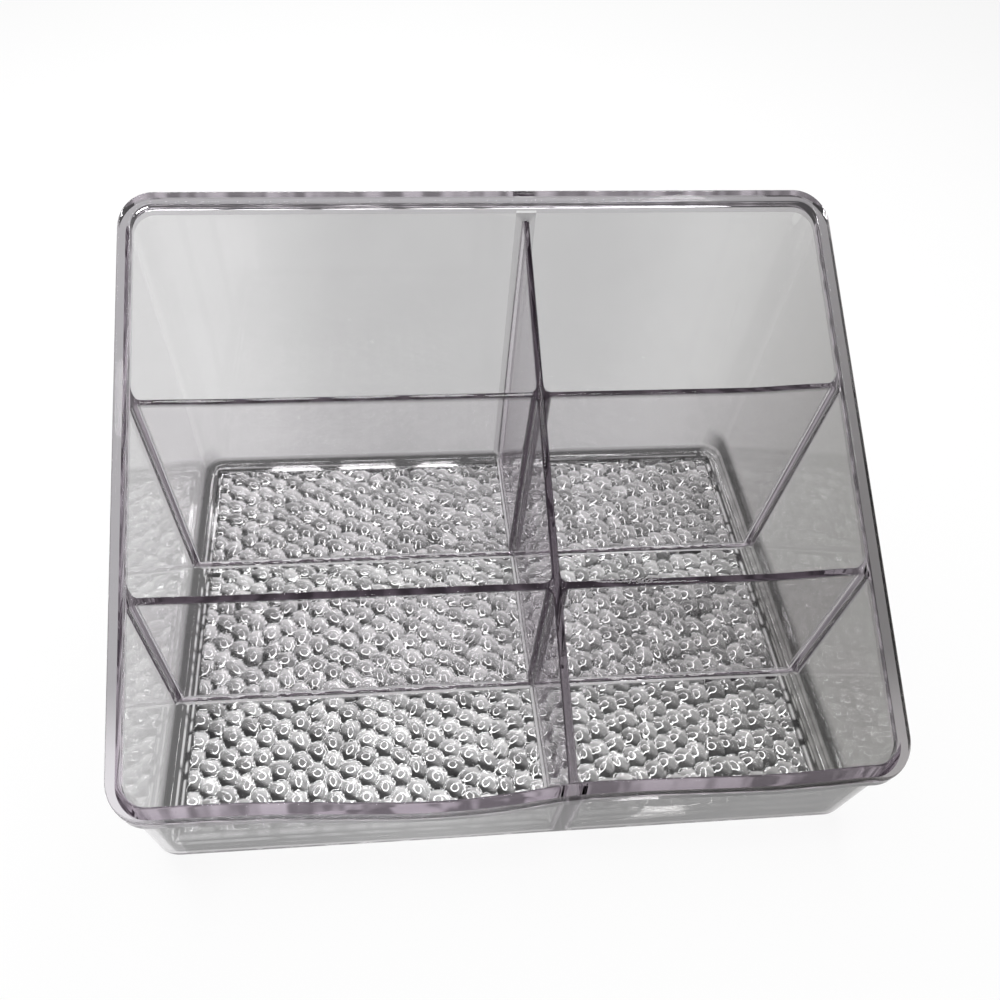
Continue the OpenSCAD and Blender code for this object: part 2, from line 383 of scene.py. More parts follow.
    def tip_drop(self, cut):
        """How far under the rim the tip of a divider ends on this slice."""
        rise = 0
        if abs(cut.out.x) == 1:
            rise = self.size.left_end_rise if cut.out.x < 0 else self.size.right_end_rise
        return self.size.divider_drop - rise - self.size.tip_r

    def rim_outline(self, cut):
        """Outline of the rim in one slice, with its two upper edges rounded."""
        size = self.size
        turns, r = quarter(FILLET_STEPS), size.rim_edge_r
        return ([cut.under_rim(0, size.rim_h), cut.under_rim(0, self.tip_drop(cut))]
                + [cut.under_rim(r * (1 - math.cos(t)), r * (1 - math.sin(t))) for t in turns]
                + [cut.under_rim(self.rim_w - r * (1 - math.sin(t)), r * (1 - math.cos(t)))
                   for t in turns]
                + [cut.under_rim(self.rim_w, size.rim_h), cut.under_rim(size.wall_t, size.rim_h)])


def current_plan(context):
    return Plan(context.scene.organizer_sizes)


def scene_object(name, data):
    """A new object in the scene."""
    made = bpy.data.objects.new(name, data)
    bpy.context.scene.collection.objects.link(made)
    return made


def only(piece):
    """Selects this piece alone and makes it the active one."""
    bpy.ops.object.select_all(action="DESELECT")
    piece.select_set(True)
    bpy.context.view_layer.objects.active = piece


def mould(name, points, faces, joined, material, painted_shading):
    """A closed piece from its points and faces. The faces that are joined to a neighbour are
    marked, so that the material lets light through them unbent, as in one moulding."""
    mesh = bpy.data.meshes.new(name)
    mesh.from_pydata([tuple(p) for p in points], [], faces)
    mark = mesh.attributes.new("joined", "FLOAT", "FACE")
    mark.data.foreach_set("value", np.array(joined, np.float32))
    # Painted light and shade for each point, which darkens the material's tint
    shade = mesh.attributes.new("painted_shading", "FLOAT", "POINT")
    shade.data.foreach_set("value", np.array(painted_shading, np.float32))
    piece = scene_object(name, mesh)
    mesh.materials.append(material)
    only(piece)
    bpy.ops.object.mode_set(mode="EDIT")
    bpy.ops.mesh.select_all(action="SELECT")
    bpy.ops.mesh.normals_make_consistent(inside=False)
    bpy.ops.object.mode_set(mode="OBJECT")
    return piece


def settle(piece, node):
    """Puts a finished piece in the place of its CAD node."""
    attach(piece, "root")
    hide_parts(node)


def finish(piece, node):
    """Smooth shading with the broad faces kept flat, and then the piece's place."""
    only(piece)
    bpy.ops.object.shade_smooth_by_angle(angle=math.radians(34))
    weight = piece.modifiers.new("broad faces", "WEIGHTED_NORMAL")
    weight.keep_sharp = True
    weight.weight = 90
    bpy.ops.object.modifier_apply(modifier=weight.name)
    settle(piece, node)


def loft(name, outlines, ring, is_joined, material, painted_shading):
    """A skin over a row of outlines, closed in a ring or by a joined face at each end."""
    sides = len(outlines[0])
    points = [p for outline in outlines for p in outline]
    faces, joined = [], []
    for i in range(len(outlines) if ring else len(outlines) - 1):
        a, b = i * sides, (i + 1) % len(outlines) * sides
        for j in range(sides):
            k = (j + 1) % sides
            faces.append((a + j, a + k, b + k, b + j))
            joined.append(float(is_joined(i, j)))
    if not ring:
        last = (len(outlines) - 1) * sides
        faces += [tuple(range(sides - 1, -1, -1)), tuple(range(last, last + sides))]
        joined += [1.0, 1.0]
    return mould(name, points, faces, joined, material, painted_shading)


def under_divider(first, second):
    """Whether the strip between two slices is covered by the end of a divider."""
    return first.edge * second.edge < 0 and first.inside == second.inside


def web_end(plan, cut_minus, cut_plus):
    """How a divider meets a wall: a function from (side, h, off, shrink, turn) to a place."""
    def place(side, h, off, shrink, turn):
        cut = cut_plus if side > 0 else cut_minus
        radius = plan.flare_r(h)
        spot = cut.at(off - HAIR, h)
        spot = Vector((spot.x, spot.y))
        spot -= cut.out * (radius * (1 - math.cos(turn)))
        spot -= cut.along * (side * (radius * math.sin(turn) + shrink))
        return spot
    return place


def web_crossing(plan, side_x, y):
    """How a cross divider meets the centre divider."""
    def place(side, h, off, shrink, turn):
        radius = plan.flare_r(h)
        x = plan.size.centre_divider_x + side_x * (
            plan.face(h) - shrink + radius * (1 - math.cos(turn)) + HAIR)
        return Vector((x, y + side * (plan.end_half(h) - radius * math.sin(turn) - shrink)))
    return place


def web(name, plan, columns, joined_spans, material):
    """A divider built from upright columns along both of its faces. A column is (place, top,
    round): its place at a height, the height of its top and the round of its top edge."""
    rows = len(plan.inside_arc) + 1 + len(MIDDLE_SHARES) + TOP_STEPS + 1
    points, shades = [], []
    for side in (1, -1):
        for at, (place, top_at, edge_r) in enumerate(columns):
            at_end = min(at, len(columns) - 1 - at) < FLARE_STEPS
            top = top_at(place(side, 0.05, 0, 0), side)
            top = top_at(place(side, top, 0, 0), side)
            column = [(h, off, 0) for off, h in plan.inside_arc] + [(plan.full_h, 0, 0)]
            start, end = plan.full_h, top - edge_r
            column += [(start + (end - start) * s, 0, 0) for s in MIDDLE_SHARES]
            column += [(end + edge_r * math.sin(turn), 0, edge_r * (1 - math.cos(turn)))
                       for turn in quarter(TOP_STEPS)]
            # Painted shade on the dividers' ends, top edges and lowest rows
            shade = END_SHADE if at_end else 1
            rise = [shade * FOOT_SHADE] * FOOT_SHADE_ROWS
            rise += [shade] * (rows - TOP_STEPS - 1 - len(rise))
            shades += rise + [TOP_SHADE] * (TOP_STEPS + 1)
            for h, off, shrink in column:
                spot = place(side, h, off, shrink)
                points.append((spot.x, spot.y, plan.size.floor_t + max(h, HAIR)))
    count = len(columns)
    faces, joined = [], []

    def quad(mark, *corners):
        """A face over four corners, each given by its side, column and row."""
        faces.append([(side * count + c) * rows + r for side, c, r in corners])
        joined.append(float(mark))

    for side in (0, 1):
        for c in range(count - 1):
            for r in range(rows - 1):
                quad((side, c) in joined_spans,
                     (side, c, r), (side, c + 1, r), (side, c + 1, r + 1), (side, c, r + 1))
    for c in range(count - 1):
        for r, mark in ((0, 1), (rows - 1, 0)):
            quad(mark, (0, c, r), (0, c + 1, r), (1, c + 1, r), (1, c, r))
    for c in (0, count - 1):
        for r in range(rows - 1):
            quad(1, (0, c, r), (1, c, r), (1, c, r + 1), (0, c, r + 1))
    return mould(name, points, faces, joined, material, shades)


def between(first, second, share_along):
    def place(side, h, off, shrink):
        a, b = first(side, h, off, shrink), second(side, h, off, shrink)
        return a.lerp(b, share_along)
    return place


def turned(place, turn):
    return lambda side, h, off, shrink: place(side, h, off, shrink, turn)


def end_edge(size, turn):
    """Round of a divider's top edge on its flare, where it runs out at the wall."""
    return size.web_top_r * min(1, 0.15 + turn)


def tip_height(distance, radius):
    return radius - math.sqrt(radius ** 2 - (radius - distance) ** 2) if distance < radius else 0


def cross_divider(context, name, side_x, y, material):
    plan = current_plan(context)
    size = plan.size
    wall = web_end(plan, plan.side(side_x, y, -1), plan.side(side_x, y, 1))
    centre = web_crossing(plan, side_x, y)
    end_rise = size.left_end_rise if side_x < 0 else size.right_end_rise
    flare = quarter(FLARE_STEPS)

    def top_at(blend):
        def top(spot, side):
            reach = max(plan.half_w + plan.lean * (plan.rim_z(y) - size.divider_drop)
                        - side_x * spot.x, 0)
            bend = min(max((reach - size.tip_r) / size.end_rise_reach, 0), 1)
            rise = end_rise * (1 + math.cos(math.pi * bend)) / 2
            at_y = y + (spot.y - y) * blend
            return (plan.rim_z(at_y) - size.divider_drop - size.floor_t + rise
                    + tip_height(reach, size.tip_r))
        return top

    def blended(turn):
        return top_at(1 - turn / (math.pi / 2))

    columns = [(turned(wall, turn), blended(turn), end_edge(size, turn)) for turn in flare]
    inner, outer = turned(wall, flare[-1]), turned(centre, flare[-1])
    columns += [(between(inner, outer, s), top_at(0), size.web_top_r)
                for s in np.linspace(0, 1, 15)[1:-1]]
    columns += [(turned(centre, turn), blended(turn), size.web_top_r)
                for turn in reversed(flare)]
    finish(web(name, plan, columns, set(), material), name)


def centre_divider(context, material):
    plan = current_plan(context)
    size = plan.size
    x = size.centre_divider_x
    half = plan.end_reach
    front = web_end(plan, plan.front(x, plan.left_bow_at(x - half), -1),
                    plan.front(x, plan.right_bow_at(x + half), 1))
    back = web_end(plan, plan.back(x, -1), plan.back(x, 1))
    flare = quarter(FLARE_STEPS)

    def top(spot, side):
        h = plan.rim_z(spot.y) - size.divider_drop - size.floor_t
        to_front = spot.y - (plan.front_y - plan.lean * h)
        to_back = plan.back_y + plan.lean * h - spot.y
        return h + tip_height(max(min(to_front, to_back), 0), size.tip_r)

    def crossing(y, sign):
        def place(side, h, off, shrink):
            return Vector((x + side * (plan.face(h) - shrink),
                           y + sign * (plan.end_half(h) - shrink)))
        return place

    columns = [(turned(front, turn), top, end_edge(size, turn)) for turn in flare]
    stops = [turned(front, flare[-1]), crossing(plan.middle_y, -1), crossing(plan.middle_y, 1),
             crossing(plan.rear_y, -1), crossing(plan.rear_y, 1), turned(back, flare[-1])]
    joined_spans = set()
    for i in range(5):
        if i % 2 == 0:
            for s in np.linspace(0, 1, 7)[1:-1]:
                columns.append((between(stops[i], stops[i + 1], s), top, size.web_top_r))
        else:
            joined_spans |= {(0, len(columns) - 1), (1, len(columns) - 1)}
        if i < 4:
            columns.append((stops[i + 1], top, size.web_top_r))
    columns += [(turned(back, turn), top, end_edge(size, turn)) for turn in reversed(flare)]
    finish(web("centre_divider", plan, columns, joined_spans, material), "centre_divider")


def ticks(start, stop, cuts, border, step):
    """Lines of the floor's grid: one at each cut and a border's width to either side of it."""
    stops = sorted({start, stop} | set(cuts))
    lines = []
    for a, b in zip(stops, stops[1:]):
        inner = np.linspace(a + border, b - border, max(2, round((b - a) / step)))
        lines += [a, a + border * 0.35] + list(inner) + [b - border * 0.35]
    lines = [v for v in lines if start + EDGE_ZONE < v < stop - EDGE_ZONE]
    edge = np.linspace(0, EDGE_ZONE, EDGE_LINES)
    return np.array(list(start + edge) + lines + list(stop - edge[::-1]))


def soft_step(low, high, values):
    part = np.clip((values - low) / (high - low), 0, 1)
    return part * part * (3 - 2 * part)


def pebble_field(xs, ys, pebbles):
    """Upper skin of the pebbles over a grid: heights over the smooth floor, and the painted light
    and shade of each point: painted shade in the grooves and on the side of a pebble towards
    the front, and painted highlights on the far side and along the lit grooves."""
    chance = np.random.default_rng(PEBBLE_SEED)
    reach_x, reach_y = abs(xs[0]), max(abs(ys[0]), abs(ys[-1]))
    height = np.full((len(xs), len(ys)), -pebbles.depth)
    second = height.copy()
    toward, body = np.zeros_like(height), np.full_like(height, 0.3)
    columns = int(reach_x / pebbles.pitch_x) + 2
    rows = int(reach_y / pebbles.pitch_y) + 8
    for i in range(-columns, columns + 1):
        for j in range(-rows, rows + 1):
            stray = np.clip(chance.normal(0, 0.5, 2), -1, 1) * pebbles.jitter
            x = i * pebbles.pitch_x + stray[0]
            y = (j + 0.5 * (i % 2)) * pebbles.pitch_y + stray[1]
            y += pebbles.sway * math.sin(x / 0.021) + 0.5 * pebbles.sway * math.sin(x / 0.0083)
            y -= pebbles.shear * max(x, 0)
            spin = chance.normal(0, 0.4)
            stretch = chance.uniform(0.86, 1.16)
            crown = pebbles.crown * chance.uniform(0, 1)
            # Painted shade: a random lightness for each pebble's body
            brightness = chance.uniform(0.27, 0.68)
            near_x = np.flatnonzero(abs(xs - x) < PEBBLE_REACH)
            near_y = np.flatnonzero(abs(ys - y) < PEBBLE_REACH)
            if not len(near_x) or not len(near_y):
                continue
            dx = (xs[near_x] - x)[:, None]
            dy = (ys[near_y] - y)[None, :]
            u = (dx * math.cos(spin) + dy * math.sin(spin)) * stretch
            v = (dy * math.cos(spin) - dx * math.sin(spin)) / stretch
            dome = crown - u * u / (2 * pebbles.dome_x) - v * v / (2 * pebbles.dome_y)
            window = np.ix_(near_x, near_y)
            before = height[window]
            top = dome > before
            second[window] = np.where(top, before, np.maximum(second[window], dome))
            height[window] = np.where(top, dome, before)
            toward[window] = np.where(top, 0.5 * dx + 0.87 * dy, toward[window])
            body[window] = np.where(top, brightness, body[window])
    # Painted shade in the grooves and on the side towards the front, stronger at the front left;
    # painted highlights on the far side and along the lit grooves
    groove = 1 - soft_step(0, pebbles.groove, height - second)
    strong = 1 - 0.5 * soft_step(-0.07, 0.11, xs[:, None] + ys[None, :])
    lit = soft_step(-0.0004, 0.0012, toward)
    painted_light = body * (1 - 0.9 * strong * soft_step(0.0004, 0.0020, -toward))
    painted_light += 0.4 * strong * soft_step(0.0008, 0.0024, toward)
    painted_light *= 1 + 0.1 * soft_step(-0.04, 0, ys)[None, :]
    painted_light *= 1 - 0.9 * groove * (1 - lit)
    painted_light += (0.85 - painted_light) * (0.4 + 0.4 * strong) * groove * lit
    return height, np.clip(painted_light, 0, 1)


def edge_lines(xs, ys, low, high):
    """How far each point is in from the floor's outer edge, and the painted light of the broken
    highlight line painted along that edge, which is weak at the back and widest at the left of the
    front."""
    chance = np.random.default_rng(EDGE_SEED)
    in_x = np.minimum(xs - low.x, high.x - xs)[:, None]
    in_y = np.minimum(ys - low.y, high.y - ys)[None, :]
    away = np.minimum(in_x, in_y)
    along = np.where(in_x < in_y, ys[None, :], xs[:, None])
    weak = (high.y - ys[None, :] < 0.003) & (in_y <= in_x)
    stops = np.arange(-0.13, 0.13, 0.0025)
    painted_light = np.full_like(away, 0.07)
    broken = soft_step(0.25, 0.5, np.interp(along, stops, chance.uniform(0, 1, len(stops))))
    width = np.where(xs[:, None] > 0.06, 0.0007, 0.0004)
    front = (ys[None, :] - low.y < 0.003) & (in_y <= in_x)
    to_right = soft_step(-0.09, 0.09, xs)[:, None]
    width = np.where(front, 0.0011 - 0.0005 * to_right, width)
    broken = np.where(front, (1 - 0.4 * to_right) * (0.6 + 0.4 * broken), broken)
    # Painted highlight: a broken line of light along the floor's edge
    painted_line = np.exp(-((away - 0.0010) / width) ** 2) * broken * np.where(weak, 0.3, 1)
    return away, np.maximum(painted_light, painted_line)


def floor_panel(context, material):
    plan = current_plan(context)
    size, pebbles = plan.size, context.scene.organizer_pebbles
    foot = plan.face(0)
    low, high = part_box("floor_panel")
    low, high = low + Vector((HAIR, HAIR, 0)), high - Vector((HAIR, HAIR, 0))
    x_cuts = [size.centre_divider_x - foot, size.centre_divider_x + foot]
    y_cuts = [y + side * foot for y in (plan.middle_y, plan.rear_y) for side in (-1, 1)]
    xs = ticks(low.x, high.x, x_cuts, pebbles.border, pebbles.step)
    ys = ticks(low.y, high.y, y_cuts, pebbles.border, pebbles.step)
    height, painted_light = pebble_field(xs, ys, pebbles)
    away, painted_line = edge_lines(xs, ys, low, high)

    def clear_share(values, cuts):
        """0 on a strip that carries a divider, 1 a border's width away."""
        off = np.full_like(values, 1.0)
        for a, b in zip(cuts[::2], cuts[1::2]):
            off = np.minimum(off, np.maximum(np.maximum(a - values, values - b), 0))
        return soft_step(0, pebbles.border, off)

    inner = soft_step(0.0018, EDGE_ZONE, away)
    clear_x, clear_y = clear_share(xs, x_cuts)[:, None], clear_share(ys, y_cuts)[None, :]
    # Painted shade on the strips under the dividers, then the painted line of light at the edge
    painted_light = 0.4 + (painted_light - 0.4) * clear_y
    painted_light = 0.15 + (painted_light - 0.15) * clear_x
    painted_light = painted_line + (painted_light - painted_line) * inner
    level = np.minimum(inner, np.minimum(clear_x, clear_y))
    z = size.floor_t + height * level
    nx, ny = len(xs), len(ys)
    grid = np.stack(np.broadcast_arrays(xs[:, None], ys[None, :], z), -1).reshape(-1, 3)

    border = ([(i, 0) for i in range(nx)] + [(nx - 1, j) for j in range(1, ny)]
              + [(i, ny - 1) for i in range(nx - 2, -1, -1)]
              + [(0, j) for j in range(ny - 2, 0, -1)])
    points = [tuple(p) for p in grid] + [(xs[i], ys[j], 0.0) for i, j in border]
    brink, under = [i * ny + j for i, j in border], range(nx * ny, len(points))
    i, j = np.meshgrid(np.arange(nx - 1), np.arange(ny - 1), indexing="ij")
    a = (i * ny + j).ravel()
    faces = [tuple(f) for f in np.stack([a, a + ny, a + ny + 1, a + 1], -1).tolist()]
    middle_x, middle_y = (xs[1:] + xs[:-1]) / 2, (ys[1:] + ys[:-1]) / 2
    on_x = (middle_x > x_cuts[0]) & (middle_x < x_cuts[1])
    on_y = np.zeros(ny - 1, bool)
    for p, q in zip(y_cuts[::2], y_cuts[1::2]):
        on_y |= (middle_y > p) & (middle_y < q)
    joined = (on_x[:, None] | on_y[None, :]).astype(float).ravel().tolist()
    for k in range(len(border)):
        after = (k + 1) % len(border)
        faces.append((brink[k], under[k], under[after], brink[after]))
    faces.append(tuple(under))
    joined += [1.0] * len(border) + [0.0]
    painted_shading = np.ones(len(points))
    # The painted light and shade go into the floor's tint, squared
    painted_shading[:nx * ny] = (painted_light ** 2).ravel()
    piece = mould("floor_panel", points, faces, joined, material, painted_shading)
    bpy.ops.object.shade_smooth_by_angle(angle=math.radians(50))
    settle(piece, "floor_panel")


def fresh_tree(owner):
    """The emptied node tree of a material or a world."""
    owner.use_nodes = True
    owner.node_tree.nodes.clear()
    return owner.node_tree


def node(tree, kind, label, inputs=(), **settings):
    """A labelled shader node. Each of its inputs takes a value or the output of another node."""
    made = tree.nodes.new("ShaderNode" + kind)
    made.label = label
    for key, value in settings.items():
        setattr(made, key, value)
    for key, value in dict(inputs).items():
        if isinstance(value, bpy.types.NodeSocket):
            tree.links.new(value, made.inputs[key])
        else:
            made.inputs[key].default_value = value
    return made


def rgba(tint):
    return tint if isinstance(tint, bpy.types.NodeSocket) else (*tint, 1)


def maths(tree, label, operation, *terms):
    made = node(tree, "Math", label, enumerate(terms), operation=operation)
    return made.outputs[0]


def noise(tree, label, place, scale, detail):
    made = node(tree, "TexNoise", label, {"Vector": place, "Scale": scale, "Detail": detail})
    return made.outputs["Fac"]


def blend(tree, label, part, first, second, blend_type="MIX"):
    """A mix of two colours."""
    made = node(tree, "Mix", label, {"Factor": part, "A": rgba(first), "B": rgba(second)},
                data_type="RGBA", blend_type=blend_type)
    return made.outputs["Result"]


def mix_shaders(tree, label, part, first, second):
    made = node(tree, "MixShader", label, {"Fac": part, 1: first, 2: second})
    return made.outputs["Shader"]


def spread(tree, label, value, source, target, **settings):
    """Maps a value from one range to another."""
    made = node(tree, "MapRange", label,
                {"Value": value, "From Min": source[0], "From Max": source[1],
                 "To Min": target[0], "To Max": target[1]}, **settings)
    return made.outputs["Result"]


def faded(tint, share_left):
    return tuple(c * share_left for c in tint)


def clear_plastic(name, look, tint, ripple, haze, coat=0, right=1, glow=None, mirror=1):
    """Clear plastic: it bends light, darkens it with depth, and is very slightly wavy. Its tint
    carries the piece's painted light and shade, and a painted shade towards the right. Faces
    joined to a neighbour, lamps' rays and rays from the floor go straight through. A ray that
    has turned many times inside ends in a soft painted glow."""
    material = bpy.data.materials.get(name) or bpy.data.materials.new(name)
    tree = fresh_tree(material)
    place = node(tree, "TexCoord", "Place on the moulding").outputs["Object"]
    # The piece's painted light and shade
    painted_shading = node(tree, "Attribute", "Lightness", attribute_name="painted_shading")
    mark = node(tree, "Attribute", "Joined faces", attribute_name="joined")
    ray = node(tree, "LightPath", "Kind of ray").outputs

    cloud = noise(tree, "Uneven tint", place, 34, 3)
    tints = blend(tree, "Tint", cloud, tint, faded(tint, 0.93))
    split = node(tree, "SeparateXYZ", "Place across and along", {"Vector": place})
    # Painted shade towards the right, along a slant from back left to front right
    slant = maths(tree, "Back left to front right", "MULTIPLY_ADD",
                  split.outputs["Y"], -0.6, split.outputs["X"])
    across = spread(tree, "Left to right", slant, RIGHT_SHADE_SPAN, (0, right),
                    interpolation_type="SMOOTHSTEP")
    dimmed = blend(tree, "Dimmed to the right", across, tints, look.right_painted_shade, "MULTIPLY")
    # Painted light and shade: the tint goes towards the painted shade tint where the attribute is
    # low
    shaded = blend(tree, "Grooves to tops", painted_shading.outputs["Fac"], look.painted_shade_tint, dimmed)

    smudge = noise(tree, "Handling haze", place, 60, 6)
    rough = spread(tree, "Haze to roughness", smudge, (0.45, 0.8), (haze, haze + 0.03))
    wave = noise(tree, "Moulding waves", place, 42, 1)
    bump = node(tree, "Bump", "Waves in the surface",
                {"Strength": 1, "Distance": ripple, "Height": wave})
    plastic = node(tree, "BsdfPrincipled", "Clear plastic", {
        "Base Color": shaded, "Roughness": rough, "IOR": 1.58, "Transmission Weight": 1,
        "Specular Tint": rgba((mirror,) * 3), "Normal": bump.outputs["Normal"],
        "Coat Weight": coat, "Coat Roughness": 0.05, "Coat IOR": 1.8})

    lamp = maths(tree, "Lamp or floor ray", "MAXIMUM", ray["Is Shadow Ray"],
                 ray["Is Diffuse Ray"])
    dark = tuple(c ** 0.5 * 0.97 for c in tint)
    shadow = blend(tree, "Shade of the plastic", lamp, (1, 1, 1), dark)
    lone = maths(tree, "Not joined", "SUBTRACT", 1, mark.outputs["Fac"])
    dim = blend(tree, "Shade where not joined", lone, (1, 1, 1), shadow)
    straight = node(tree, "BsdfTransparent", "Straight through", {"Color": dim})
    through = maths(tree, "Unbent", "MAXIMUM", lamp, mark.outputs["Fac"])
    mix = mix_shaders(tree, "Bent or straight", through, plastic.outputs["BSDF"],
                      straight.outputs["BSDF"])

    # Painted glow with painted streaks of light, for rays that have turned many times inside
    flat = node(tree, "VectorMath", "Streaks stand upright",
                {0: place, 1: (1, 1, 0)}, operation="MULTIPLY")
    streak = noise(tree, "Streaks of light", flat.outputs["Vector"], 150, 1)
    streaks = spread(tree, "Streaks spread", streak, (0.4, 0.62), (0, 1),
                     interpolation_type="SMOOTHSTEP")
    glow = glow or look.painted_deep_glow
    lit = tuple(min(c * 1.5, 1) for c in glow)
    painted_glows = blend(tree, "Deep light", streaks, faded(glow, 0.6), lit)
    deep = node(tree, "Emission", "Light from deep inside", {"Color": painted_glows})
    turns = maths(tree, "After many turns", "GREATER_THAN", ray["Glossy Depth"], DEEP_TURNS)
    settled = mix_shaders(tree, "Settled", turns, mix, deep.outputs["Emission"])
    depth = node(tree, "VolumeAbsorption", "Darker with depth",
                 {"Color": rgba(look.depth_tint), "Density": look.depth_density})
    node(tree, "OutputMaterial", "Finish",
         {"Surface": settled, "Volume": depth.outputs["Volume"]})
    return material


class ORGANIZER_OT_floor(bpy.types.Operator):
    """Add the pebbled floor panel"""
    bl_idname = "organizer.add_floor"
    bl_label = "Floor"

    def execute(self, context):
        look = context.scene.organizer_look
        floor_panel(context, clear_plastic("clear_pebbled_floor", look, look.floor_tint,
                                           0.00002, 0.02, 1, 0.6))
        return {"FINISHED"}


class ORGANIZER_OT_walls(bpy.types.Operator):
    """Add the back, front, left and right walls"""
    bl_idname = "organizer.add_walls"
    bl_label = "Walls"

    def execute(self, context):
        plan = current_plan(context)
        look = context.scene.organizer_look
        material = clear_plastic("clear_walls", look, look.wall_tint, 0.00004, 0.005,
                                 glow=look.painted_rim_glow)
        sides = len(plan.wall_outline(plan.back(0)))
        top = FILLET_STEPS + 3 + len(FLAT_STOPS) + len(WALL_STOPS)
        # Painted shade on the fillets round the floor, with painted lines of light on the flat
        # strip
        dark = look.foot_painted_shade
        chance = np.random.default_rng(WALL_SEED)
        walls = {"back_wall": plan.back_row(), "front_wall": plan.front_row(),
                 "left_wall": plan.side_row(-1), "right_wall": plan.side_row(1)}
        for name, row in walls.items():
            def is_joined(i, j, row=row):
                strip = 1 <= j < top and under_divider(row[i], row[i + 1])
                return j in (0, top) or strip
            foot, gap = (0.04, 0.01) if name == "front_wall" else (dark, dark)
            arc = [foot] * (FILLET_STEPS - 2) + PLAIN_RISE
            rise = arc + [1] * (sides - len(FLAT_STOPS) - len(arc) - 1)
            # Painted streaks of light and shade up the side walls' fillets, of random strength on
            # the right
            band = {"left_wall": [foot] * FILLET_STEPS + [0.15, 0.25, 0.4, 0.65, 0.85],
                    "right_wall": RIGHT_PAINTED_STREAKS + [0.5, foot, foot, 0.1, 0.6]}.get(name, [])
            painted_shading = []
            for cut in row:
                painted_line = float(soft_step(0.2, 0.45, chance.uniform()))
                painted_line = gap + (1 - gap) * painted_line * (0.3 if name == "back_wall" else 1)
                rest = list(rise)
                painted_streak_strength = 0.45 + 0.55 * chance.uniform() if name == "right_wall" else 1
                for step, value in enumerate(band):
                    value *= painted_streak_strength if step <= FILLET_STEPS else 1
                    rest[step] += (value - rest[step]) * abs(cut.out.x)
                # Painted shade: the front wall darker, and the back wall darker away from its
                # corners
                if name == "front_wall":
                    rest = [v * look.front_painted_shade for v in rest]
                elif name == "back_wall":
                    inward = soft_step(0, BACK_STEPS[-1], plan.seam_x - abs(cut.inside.x))
                    rest = [v * (1 + (look.back_painted_shade - 1) * float(inward)) for v in rest]
                painted_shading += [1, gap, gap, painted_line, painted_line, gap] + rest
            outlines = [plan.wall_outline(cut) for cut in row]
            finish(loft(name, outlines, False, is_joined, material, painted_shading), name)
        return {"FINISHED"}


class ORGANIZER_OT_rim(bpy.types.Operator):
    """Add the rim round the sloping top edge"""
    bl_idname = "organizer.add_rim"
    bl_label = "Rim"

    def execute(self, context):
        plan = current_plan(context)
        look = context.scene.organizer_look
        material = clear_plastic("clear_rim", look, look.rim_tint, 0.00004, 0.02,
                                 glow=look.painted_rim_glow, mirror=WEAK_MIRROR)
        row = plan.front_row()[:-1] + plan.side_row(1)[:-1] + plan.back_row()[:-1]
        row += plan.side_row(-1)[:0:-1]
        sides = len(plan.rim_outline(row[0]))

        def is_joined(i, j):
            after = row[(i + 1) % len(row)]
            return j == sides - 1 or (j == 0 and under_divider(row[i], after))
        # Painted shade: the rim darker away from the front
        painted_shading = []
        for cut in row:
            off_front = float(soft_step(0.004, 0.03, cut.inside.y - plan.front_y))
            painted_shading += [1 + (RIM_SHADE - 1) * off_front] * sides
        outlines = [plan.rim_outline(cut) for cut in row]
        finish(loft("rim", outlines, True, is_joined, material, painted_shading), "rim")
        return {"FINISHED"}


class ORGANIZER_OT_dividers(bpy.types.Operator):
    """Add the centre divider and the four cross dividers"""
    bl_idname = "organizer.add_dividers"
    bl_label = "Dividers"

    def execute(self, context):
        plan = current_plan(context)
        look = context.scene.organizer_look
        material = clear_plastic("clear_dividers", look, look.divider_tint, 0.00002, 0,
                                 right=0.25, mirror=WEAK_MIRROR)
        centre_divider(context, material)
        for row, y in (("rear", plan.rear_y), ("front", plan.middle_y)):
            for side, side_x in (("left", -1), ("right", 1)):
                cross_divider(context, f"{row}_divider_{side}", side_x, y, material)
        return {"FINISHED"}


def stage_floor(look):
    """A wide pale floor. Sight, gloss and glass find it white, and it keeps a soft shadow."""
    bpy.ops.object.select_all(action="DESELECT")
    bpy.ops.mesh.primitive_plane_add(size=8, location=(0, 0, -0.0003))
    floor = bpy.context.object
    floor.name = "stage_floor"
    bpy.ops.object.transform_apply(location=True, rotation=False, scale=False)
    material = bpy.data.materials.new("stage_floor")
    tree = fresh_tree(material)
    lit = node(tree, "BsdfDiffuse", "Lit floor", {"Color": rgba((look.floor_white,) * 3)})
    white = node(tree, "Emission", "White floor", {"Color": rgba((1, 1, 1))})
    ray = node(tree, "LightPath", "Kind of ray").outputs
    seen = maths(tree, "Seen or mirrored", "MAXIMUM", ray["Is Camera Ray"], ray["Is Glossy Ray"])
    bent = maths(tree, "Or seen through", "MAXIMUM", seen, ray["Is Transmission Ray"])
    part = maths(tree, "Share of white", "MULTIPLY", bent, WHITE_SHARE)
    mix = mix_shaders(tree, "Lit and white", part, lit.outputs["BSDF"],
                      white.outputs["Emission"])
    node(tree, "OutputMaterial", "Floor", {"Surface": mix})
    floor.data.materials.append(material)


